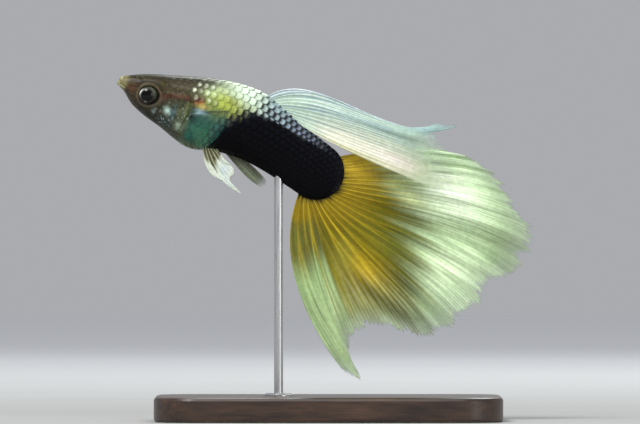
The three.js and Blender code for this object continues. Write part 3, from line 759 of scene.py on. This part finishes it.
def add_eye(name, side):
    rings, sides = 60, 72
    polar = np.linspace(0.03, math.pi - 0.03, rings)[:, None]
    a = np.arange(sides)[None, :] / sides * 2 * math.pi
    out = np.cos(polar) + 0 * a
    fore = np.sin(polar) * np.cos(a)
    rise = np.sin(polar) * np.sin(a)
    centre, back, aside, up = eye_frame(side)
    swell = 1 + 0.05 * bump(polar, 0, 0.5)
    local = [fore * EYE_RADII[0], out * EYE_RADII[1] * swell, rise * EYE_RADII[2]]
    points = centre + sum(v[..., None] * axis for v, axis in zip(local, (back, aside, up)))
    gap = np.hypot(local[0] - PUPIL[0], local[2] - PUPIL[1])
    ang = np.degrees(np.arctan2(local[2], -local[0]))
    tint = layered(plain(gap, (0.13, 0.115, 0.10)), (
        ((0.23, 0.24, 0.19), bump(gap, 1.02, 0.26) * smooth(rise + 0.5 * fore, -0.1, 0.6)),
        ((0.36, 0.40, 0.35), bump(gap, 1.0, 0.12) * bump(ang, 110, 35) * 0.8),
        # painted highlight: a white crescent of reflected light in front of the pupil
        ((0.92, 0.94, 0.92), bump(gap, 0.86, 0.08) * bump(ang, 6, 22)),
        # painted highlight: a small bright dot of reflected light below the pupil
        ((0.80, 0.82, 0.80), bump(np.hypot(local[0] + 0.2, local[2] + 0.78), 0, 0.1)),
        ((0.28, 0.25, 0.17), bump(gap, PUPIL_RADIUS + 0.07, 0.05) * 0.4),
        ((0.005, 0.005, 0.007), fade(gap, PUPIL_RADIUS - 0.04, PUPIL_RADIUS + 0.05)),
        # painted shade at the eyeball's edge, where it sinks into the socket
        ((0.05, 0.05, 0.05), smooth(np.hypot(fore, rise), 0.88, 0.98)),
    ))
    ends = np.array([centre + aside * EYE_RADII[1] * 1.05, centre - aside * EYE_RADII[1]])
    points = np.vstack([points.reshape(-1, 3), ends])
    tints = np.vstack([tint.reshape(-1, 3), tint[0, 0], tint[-1, 0]])
    faces = loft_faces(rings, sides)
    if side > 0:
        faces = [face[::-1] for face in faces]
    return settle(add_mesh(name, points, faces, tints), eye_look, "eye", name.replace("_ball", ""))


eye_look = eye_material()
add_eye("eye_left_ball", -1)
add_eye("eye_right_ball", 1)


# Fins
RAY_HANDLE = 0.36


def ray_sheet(root, rows, sway):
    """A fin's middle surface. Rows: share of the way along its root, tip x and z, angles at root and tip."""
    table = np.array(rows, float)

    def sheet(u, v):
        start = root(u)
        tip_x, tip_z, leaving, arriving = (along(list(zip(table[:, 0], table[:, k])), u) for k in range(1, 5))
        end = np.stack([tip_x, start[..., 1], tip_z], -1)
        reach = (np.linalg.norm(end - start, axis=-1) * RAY_HANDLE)[..., None]
        out, into = np.radians(leaving), np.radians(arriving)
        zero = np.zeros_like(out)
        first = start + reach * np.stack([np.cos(out), zero, np.sin(out)], -1)
        second = end - reach * np.stack([np.cos(into), zero, np.sin(into)], -1)
        w = v[..., None]
        p = (1 - w) ** 3 * start + 3 * w * (1 - w) ** 2 * first + 3 * w * w * (1 - w) * second + w**3 * end
        p[..., 1] += sway(u, v)
        return p

    return sheet


def branch_gap(u, v, rays, splits):
    """Distance to the nearest branch of a ray, in spaces between rays. Rays split as they go out."""
    gap = np.abs((u * (rays - 1) + 0.5) % 1.0 - 0.5)
    offset = 0.25
    for start, end in splits:
        gap = np.abs(gap - offset * smooth(v, start, end))
        offset /= 2
    return gap


def ragged(u, amount, tufts, filaments, depth, seed):
    """How far each ray reaches: a margin of uneven tufts, each split into fine points."""
    draw = np.random.default_rng(seed)
    edges = np.linspace(0, 1, tufts + 1)
    edges[1:-1] += draw.uniform(-0.32, 0.32, tufts - 1) / tufts
    k = np.clip(np.searchsorted(edges, u, side="right") - 1, 0, tufts - 1)
    f = (u - edges[k]) / (edges[k + 1] - edges[k])
    middles = (edges[1:] + edges[:-1]) / 2
    wear = np.interp(u, np.linspace(0, 1, tufts // 4 + 1), draw.uniform(0.25, 1.3, tufts // 4 + 1))
    length = np.interp(u, middles, draw.uniform(0, 1, tufts) ** 1.4)
    notch = np.abs(2 * f - 1) ** 2.4 * np.interp(u, middles, draw.uniform(0.1, 1.2, tufts)) * wear
    point = (1 - np.cos(2 * math.pi * u * filaments)) / 2
    point = point * np.interp(u, np.linspace(0, 1, filaments + 1), draw.uniform(0.2, 1, filaments + 1))
    return 1 + 0.34 * amount - amount * (0.5 * length + 0.36 * notch) - depth * point


def add_fin(node, sheet, paint, slot, rays, columns, rings, splits, thick, ragging, thin=0.12, width=0.13):
    """A fin of two faces with ridges along its rays. Ragging: unevenness, tufts, depth of points, seed."""
    u = np.linspace(0, 1, columns + 1)[:, None] + np.zeros((1, rings + 1))
    v = np.linspace(0, 1, rings + 1)[None, :] + np.zeros((columns + 1, 1))
    amount, tufts, depth, seed = ragging
    reach = ragged(u[:, 0], amount, tufts, (rays - 1) * 2 ** len(splits), depth, seed)
    v = v * reach[:, None]
    centre = sheet(u, v)
    du = np.gradient(centre, axis=0)
    dv = np.gradient(centre, axis=1)
    normal = np.cross(du, dv)
    normal /= np.maximum(np.linalg.norm(normal, axis=-1), 1e-9)[..., None]
    gap = branch_gap(u, v, rays, splits)
    narrow = width / (1 + 1.6 * smooth(v, 0.3, 0.9))
    ridge = np.exp(-((gap / narrow) ** 2))
    strength = 1 - 0.7 * smooth(v, 0.55, 1.0)
    depth = thin + (thick - thin) * ridge * strength
    depth = depth * (1 - 0.75 * smooth(v / reach[:, None], 0.86, 1.0))
    tint, clear = paint(centre[..., 0], centre[..., 2], u, v, ridge)
    half = normal * (depth / 2)[..., None]
    n = (columns + 1) * (rings + 1)
    index = np.arange(n).reshape(columns + 1, rings + 1)
    a, b, c, d = index[:-1, :-1], index[1:, :-1], index[1:, 1:], index[:-1, 1:]
    front = np.stack([a, b, c, d], -1).reshape(-1, 4)
    back = front[:, ::-1] + n
    around = np.concatenate([index[:, 0], index[-1, 1:], index[-2::-1, -1], index[0, -2:0:-1]])
    nxt = np.roll(around, -1)
    border = np.stack([nxt, around, around + n, nxt + n], -1)
    faces = np.vstack([front, back, border])
    points = np.vstack([(centre + half).reshape(-1, 3), (centre - half).reshape(-1, 3)])
    flat_uv = np.stack([u, v / reach[:, None]], -1).reshape(-1, 2) * [0.47, 0.96]
    uv = np.vstack([flat_uv + [0.01, MAP_EDGE], flat_uv + [0.52, MAP_EDGE]])
    uv = uv[np.vstack([front, back, border % n])]
    tints = np.tile(tint.reshape(-1, 3), (2, 1))
    piece = add_mesh(node + "_rays", points, faces.tolist(), tints, uv, np.tile(clear.ravel(), 2))
    return settle(piece, fin_look, slot, node)


def streaks(u, v, across, amount, seed):
    """Light and dark streaks that run along the rays."""
    fine = cloud(v, u * 0.999, 5, across, seed)
    broad = cloud(v, u * 0.999, 3, across // 3, seed + 1)
    return 1 + amount * (0.6 * fine + 0.6 * broad)


def spot(x, z, centre, radii, tilt=0.0):
    c, d = math.cos(math.radians(tilt)), math.sin(math.radians(tilt))
    dx, dz = x - centre[0], z - centre[1]
    return np.exp(-(((dx * c + dz * d) / radii[0]) ** 2) - ((-dx * d + dz * c) / radii[1]) ** 2)


fin_look = fin_material()

TAIL_ROOT_TOP = 74  # degrees up from the body's end
TAIL_ROWS = [
    (0, 13.6, 32.8, 12, -6), (0.12, 17.6, 31.6, 8, -14), (0.22, 20.6, 29.0, 4, -20),
    (0.32, 22.9, 25.6, -2, -24), (0.41, 24.0, 23.0, -10, -26), (0.5, 23.0, 19.6, -20, -33),
    (0.6, 19.6, 16.2, -34, -40), (0.7, 14.8, 12.2, -50, -50), (0.77, 11.2, 10.4, -62, -56),
    (0.82, 5.6, 11.6, -72, -62), (0.87, 2.4, 10.0, -82, -64), (0.92, 2.7, 7.6, -94, -62),
    (0.965, 3.7, 5.3, -104, -54), (1, 2.0, 5.8, -112, -52),
]
TAIL_FOLDS = [
    (0, 2.3), (0.14, 2.0), (0.3, 0.6), (0.42, -1.2), (0.55, 0.9), (0.68, -0.9), (0.8, 1.5), (0.9, -1.4),
    (1, -2.6),
]


def tail_root(u):
    turn = np.radians(TAIL_ROOT_TOP - (TAIL_ROOT_TOP + 90) * u)
    s = ROOT_START + (ROOT_REACH - SINK) * np.cos(turn)
    return in_body(s, 0, (ROOT_HALF_HEIGHT - SINK) * np.sin(turn))


def tail_sway(u, v):
    pleats = np.sin(2 * math.pi * (10 * u + 0.35 * cloud(v, u, 2, 9, 61)))
    return along(TAIL_FOLDS, u) * v**1.25 + 0.24 * pleats * smooth(v, 0.08, 0.6)


# How far out the olive-gold middle of the tail reaches along each ray
GOLD_REACH = [
    (0, 0.16), (0.1, 0.25), (0.3, 0.33), (0.41, 0.39), (0.5, 0.47), (0.6, 0.56), (0.68, 0.7), (0.74, 0.86),
    (0.8, 0.98), (1, 1.0),
]


def tail_paint(x, z, u, v, ridge):
    wander = 0.07 * cloud(v, u, 2, 110, 31) + 0.05 * cloud(v, u, 2, 36, 32)
    tint = layered(plain(x, (0.76, 0.87, 0.68)), (
        # painted highlight: a white band along a fold of the pale fan, where it catches the light
        ((0.90, 0.96, 0.84), spot(x, z, (13.4, 28.4), (6.0, 2.2), -32)),
        ((0.84, 0.93, 0.74), spot(x, z, (14.4, 18.6), (3.0, 3.0), -40) * 0.8),
        # painted light: a paler patch that lifts the shade of a fold
        ((0.88, 0.96, 0.80), spot(x, z, (11.6, 25.8), (3.0, 2.0), -30) * 0.8),
        # painted shade: the outer part is dimmed against the light a fold catches there
        ((0.62, 0.72, 0.53), smooth(x, 16.5, 21) * 0.7),
    ))
    edge = along(GOLD_REACH, u)
    gold = fade(v + wander, edge - 0.2, edge + 0.16)
    tint = layered(tint, (
        ((0.40, 0.385, 0.04), gold),
        ((0.35, 0.38, 0.10), gold * smooth(v, 0.3, 0.48) * fade(u, 0.78, 0.84) * 0.8),
        ((0.48, 0.48, 0.14), spot(x, z, (4.6, 14.0), (4.4, 2.4), -10) * gold * 1.2),
        ((0.74, 0.64, 0.14), spot(x, z, (4.3, 18.6), (3.6, 2.2), -38) * gold),
        ((0.60, 0.58, 0.22), spot(x, z, (1.6, 19.5), (1.4, 2.2)) * gold * 0.7),
        # pale-green patch, made paler with painted light against the dorsal fin's shadow
        ((0.84, 0.90, 0.62), spot(x, z, (8.0, 28.6), (1.5, 0.6), -15) * 0.8),
        ((0.56, 0.47, 0.06), fade(v, 0.08, 0.3)),
        # painted light: brighter gold at the top of the root, lifting the dorsal fin's shadow
        ((0.90, 0.76, 0.22), spot(x, z, (4.2, 31.2), (2.8, 1.6), -10) * gold),
        # painted light: a paler patch lifting the dorsal fin's shadow over the pale membrane
        ((0.86, 0.92, 0.68), spot(x, z, (10.0, 27.0), (1.6, 0.7), -30) * 0.8),
    ))
    lobe = smooth(u + wander * 0.4, 0.84, 0.9)
    tint = over(tint, (0.40, 0.40, 0.15), lobe * smooth(v, 0.12, 0.2) * fade(v, 0.32, 0.52))
    tint = over(tint, (0.62, 0.72, 0.50), lobe * smooth(v, 0.3, 0.52))
    ray = over(tint * 1.15, (0.78, 0.67, 0.14), fade(v, 0.2, 0.5) * 0.6)
    ray = over(ray, (0.90, 0.95, 0.84), smooth(v, 0.45, 0.8) * 0.3)
    tint = tint * (0.84 + 0.1 * smooth(v, 0.3, 0.7))[..., None]
    line = ridge * np.clip(0.6 + 0.55 * cloud(v, u, 2, 50, 33), 0, 1)
    tint = blend(tint, ray, line)
    tint = tint * streaks(u, v, 210, 0.32 + 0.12 * smooth(v, 0.3, 0.6), 5)[..., None]
    tint = over(tint, (0.03, 0.025, 0.02), fade(v + wander * 0.25, 0.005, 0.045) * 0.95)
    fringe = smooth(v, 0.8, 0.98)
    tint = over(tint, (0.60, 0.70, 0.54), fringe * 0.3)
    clear = 1 - 0.55 * fringe * (1 - 0.4 * ridge) - 0.05 * (1 - ridge)
    return tint, clear


add_fin("tail_fin", ray_sheet(tail_root, TAIL_ROWS, tail_sway), tail_paint, "tail_membrane", rays=26,
        columns=800, rings=60, splits=((0.12, 0.5), (0.35, 0.75), (0.6, 0.95)), thick=0.2,
        ragging=(0.13, 46, 0.055, 3))

DORSAL_BASE = (17.0, 19.9)
DORSAL_ROWS = [
    (0, 13.4, 36.1, 34, 26), (0.16, 15.2, 35.5, 24, 18), (0.26, 13.4, 35.0, 15, 9), (0.36, 12.6, 34.2, 7, -2),
    (0.5, 14.2, 32.7, -4, -14), (0.7, 14.2, 30.4, -18, -25), (0.86, 13.8, 29.0, -30, -27),
    (1, 12.7, 28.0, -36, -25),
]


def dorsal_root(u):
    return skin_point(DORSAL_BASE[0] + (DORSAL_BASE[1] - DORSAL_BASE[0]) * u, math.pi / 2, -SINK)


def dorsal_sway(u, v):
    return -3.1 * v * (2 - v) + 0.35 * v * np.sin(2 * math.pi * (1.3 * u + 0.4 * v))


def dorsal_paint(x, z, u, v, ridge):
    tint = layered(plain(x, (0.74, 0.84, 0.76)), (
        ((0.84, 0.92, 0.95), fade(u, 0.04, 0.2)),
        ((0.66, 0.78, 0.74), bump(u, 0.4, 0.14) * smooth(v, 0.1, 0.3) * fade(v, 0.6, 0.9)),
        ((0.88, 0.88, 0.77), smooth(u, 0.5, 0.85) * smooth(v, 0.1, 0.35)),
        ((0.92, 0.88, 0.84), bump(u, 0.86, 0.07) * bump(v, 0.72, 0.2) * 0.8),
        ((0.74, 0.72, 0.46), smooth(u, 0.88, 1.0) * bump(v, 0.45, 0.25) * 0.8),
        ((0.76, 0.86, 0.66), smooth(v, 0.75, 0.98) * smooth(u, 0.35, 0.6) * 0.7),
        ((0.62, 0.79, 0.75), smooth(v, 0.7, 0.95) * fade(u, 0.2, 0.4) * 0.9),
    ))
    ray = over(tint * 1.1, (0.96, 0.98, 0.95), np.full(u.shape, 0.5))
    front = fade(u, 0.55, 0.85)
    between = over(tint * 0.86, (0.44, 0.56, 0.60), front * smooth(cloud(v, u, 3, 22, 41), -0.2, 0.7) * 0.6)
    line = ridge * (0.85 - 0.6 * smooth(v, 0.4, 0.8))
    tint = blend(between, ray, line)
    tint = tint * streaks(u, v, 66, 0.2, 9)[..., None]
    fringe = smooth(v, 0.86, 1.0)
    clear = 1 - 0.6 * fringe - 0.04 * (1 - ridge)
    clear = clear * (1 - 0.75 * smooth(v, 0.66, 1) * smooth(u, 0.3, 0.55))
    return tint, clear


add_fin("dorsal_fin", ray_sheet(dorsal_root, DORSAL_ROWS, dorsal_sway), dorsal_paint, "dorsal_membrane",
        rays=13, columns=400, rings=70, splits=((0.1, 0.5), (0.4, 0.9)), thick=0.18,
        ragging=(0.1, 22, 0.05, 11))


def pectoral_paint(x, z, u, v, ridge):
    tint = layered(plain(x, (0.13, 0.38, 0.34)), (
        # painted highlight: pale blue-white light on the leading ray near the root
        ((0.78, 0.90, 0.95), bump(u, 0.03, 0.09) * fade(v, 0.2, 0.45)),
        ((0.08, 0.12, 0.09), bump(u, 0.03, 0.06) * smooth(v, 0.2, 0.45) * 0.9),
        ((0.20, 0.44, 0.28), smooth(u, 0.4, 0.9) * 0.7),
        # painted shade at the fin's root, against the body
        ((0.06, 0.14, 0.14), fade(v, 0.03, 0.16) * 0.8),
    ))
    tint = tint * streaks(u, v, 40, 0.25, 51)[..., None]
    tint = blend(tint * 0.7, tint * 1.4 + 0.04, ridge)
    clear = 0.07 + 0.24 * ridge * (1 - 0.5 * smooth(v, 0.6, 1.0)) + 0.3 * fade(u, 0.02, 0.08)
    return tint, clear


def pelvic_paint(x, z, u, v, ridge):
    tint = plain(x, (0.36, 0.35, 0.18))
    tint = over(tint, (0.88, 0.92, 0.84), smooth(v, 0.32, 0.55))
    tint = over(tint, (0.84, 0.88, 0.78), fade(u, 0.02, 0.12) * smooth(v, 0.1, 0.4) * 0.7)
    ray = over(tint * 1.15, (0.93, 0.95, 0.88), np.full(u.shape, 0.5))
    tint = over(tint, (0.70, 0.82, 0.92), bump(u, 0.45, 0.2) * bump(v, 0.72, 0.14) * 0.6)
    tint = blend(tint * 0.93, ray, ridge)
    clear = 0.8 + 0.12 * ridge + 0.1 * smooth(v, 0.3, 0.5) - 0.2 * smooth(v, 0.9, 1.0)
    return tint, clear


def gonopodium_paint(x, z, u, v, ridge):
    tint = plain(x, (0.33, 0.35, 0.24))
    tint = over(tint, (0.50, 0.55, 0.44), bump(u, 0.75, 0.25) * smooth(v, 0.2, 0.6) * 0.8)
    tint = over(tint, (0.44, 0.50, 0.42), smooth(v, 0.75, 1.0) * 0.5)
    tint = tint * (0.8 + 0.5 * ridge[..., None])
    return tint, (0.72 + 0.2 * ridge) * (1 - 0.7 * smooth(v, 0.82, 1.0))


PECTORAL_SHARES = (0, 0.25, 0.5, 0.75, 1)
PELVIC_ROWS = [
    (0, -13.8, 29.5, -90, -36), (0.13, -12.9, 29.1, -84, -38), (0.28, -10.6, 27.5, -76, -24),
    (0.44, -11.9, 29.1, -62, -40), (0.62, -11.4, 29.9, -52, -40), (0.8, -11.6, 30.8, -46, -34),
    (1, -12.5, 31.2, -40, -30),
]

for side_name, side in (("right", 1), ("left", -1)):
    def turned(degrees, side=side):
        a = np.radians(degrees)
        return a if side > 0 else math.pi - a

    def pectoral_root(u, proud=-0.15, turned=turned):
        return skin_point(9.3 + 0.1 * u, turned(-17 - 20 * u), proud)

    def pectoral_sway(u, v, side=side):
        return side * (1.9 * v + 0.25 * np.sin(math.pi * u) * v)

    rows = []
    for u0 in PECTORAL_SHARES:
        start = pectoral_root(u0, 0.3)
        length, aim = 4.8 - 1.4 * u0, 6 - 76 * u0
        tip_x = start[0] + length * math.cos(math.radians(aim))
        tip_z = start[2] + length * math.sin(math.radians(aim))
        rows.append((u0, tip_x, tip_z, aim + 5, aim - 8))
    add_fin("pectoral_fin_" + side_name, ray_sheet(pectoral_root, rows, pectoral_sway), pectoral_paint,
            "fin_membrane", rays=14, columns=208, rings=40, splits=((0.2, 0.6), (0.6, 0.95)), thin=0.05,
            thick=0.1, ragging=(0.05, 9, 0.02, 17))

    def pelvic_root(u, turned=turned):
        return skin_point(12.1 + 1.6 * u, turned(-76), -0.3)

    def pelvic_sway(u, v, side=side):
        return side * (0.9 * v + 0.3 * np.sin(math.pi * v) * (1 - u))

    add_fin("pelvic_fin_" + side_name, ray_sheet(pelvic_root, PELVIC_ROWS, pelvic_sway), pelvic_paint,
            "fin_membrane", rays=7, columns=120, rings=40, splits=((0.3, 0.8),), thin=0.1, thick=0.2,
            ragging=(0.03, 5, 0.01, 23))


def gonopodium_root(u):
    return skin_point(15.9 - 1.2 * u, -math.pi / 2, -0.3)


GONOPODIUM_ROWS = [(0, -7.5, 29.1, -18, -46), (0.5, -7.7, 28.6, -30, -40), (1, -8.3, 28.3, -46, -30)]
add_fin("gonopodium", ray_sheet(gonopodium_root, GONOPODIUM_ROWS, lambda u, v: 0 * u), gonopodium_paint,
        "fin_membrane", rays=5, columns=60, rings=50, splits=(), thin=0.2, thick=0.42, width=0.2,
        ragging=(0.1, 4, 0.05, 29))

# Stand: the solids themselves, with their own finishes
for node, material in (("stand_base", wood_material()), ("stand_rod", rod_material())):
    stand_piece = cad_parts[node]
    stand_piece.data.materials.clear()
    stand_piece.data.materials.append(material)

# Studio, in metres: pale floor, soft lights, and a long lens at the photograph's angle
n = Nodes("pale_floor")
radius = n.add("ShaderNodeVectorMath", operation="LENGTH")
n.link(n.place, radius.inputs[0])
far = n.span(radius.outputs["Value"], 0, 1, 0.06, 0.5)
patchy = n.mix("MIX", n.span(n.noise(60, 2), 0, 1), (0.40, 0.40, 0.39), (0.43, 0.43, 0.42))
n.base(n.mix("MIX", far, patchy, (0.94, 0.95, 0.97)))
n.set(Roughness=0.85)
floor_mesh = bpy.data.meshes.new("floor")
FLOOR_RADIUS = 1.2
FLOOR_SIDES = 96
turns = [2 * math.pi * k / FLOOR_SIDES for k in range(FLOOR_SIDES)]
ring = [(FLOOR_RADIUS * math.cos(a), FLOOR_RADIUS * math.sin(a), 0) for a in turns]
floor_mesh.from_pydata(ring, [], [list(range(FLOOR_SIDES))])
floor = to_scene("floor", floor_mesh)
floor.data.materials.append(n.material)

world = bpy.data.worlds.new("studio")
bpy.context.scene.world = world
world.use_nodes = True
sky = world.node_tree.nodes["Background"]
sky.inputs["Color"].default_value = (0.93, 0.95, 1.0, 1)
sky.inputs["Strength"].default_value = 0.43

TARGET = Vector((-0.001, 0, 0.026))  # the middle of the fish, which the lights face


def soft_light(name, direction, distance, size, watts, colour=(1, 1, 1)):
    data = bpy.data.lights.new(name, "AREA")
    data.shape = "DISK"
    data.size = size
    data.energy = watts
    data.color = colour
    lamp = to_scene(name, data)
    lamp.location = TARGET + Vector(direction).normalized() * distance
    lamp.rotation_euler = (TARGET - lamp.location).to_track_quat("-Z", "Y").to_euler()


soft_light("key", (-0.4, -0.8, 1.15), 0.45, 0.2, 1.85)
soft_light("fill", (0.9, -1.0, 0.3), 0.5, 0.3, 0.5)
soft_light("rim", (0.3, 1.0, 1.0), 0.45, 0.25, 0.75, (0.95, 1.0, 0.97))

camera_data = bpy.data.cameras.new("camera")
camera = to_scene("camera", camera_data)
CAMERA_DISTANCE = 1.2
FRAME_WIDTH = 0.0774  # what the picture's width shows at the fish
FRAME_MIDDLE = (-0.00102, 0.02525)  # across and up
SENSOR_WIDTH = 36
camera_data.sensor_width = SENSOR_WIDTH
camera_data.lens = SENSOR_WIDTH * CAMERA_DISTANCE / FRAME_WIDTH
camera_data.clip_start = 0.05
camera_data.clip_end = 20
camera.location = (FRAME_MIDDLE[0], -CAMERA_DISTANCE, FRAME_MIDDLE[1])
camera.rotation_euler = (math.pi / 2, 0, 0)
bpy.context.scene.camera = camera
bpy.context.scene.view_settings.view_transform = "Standard"
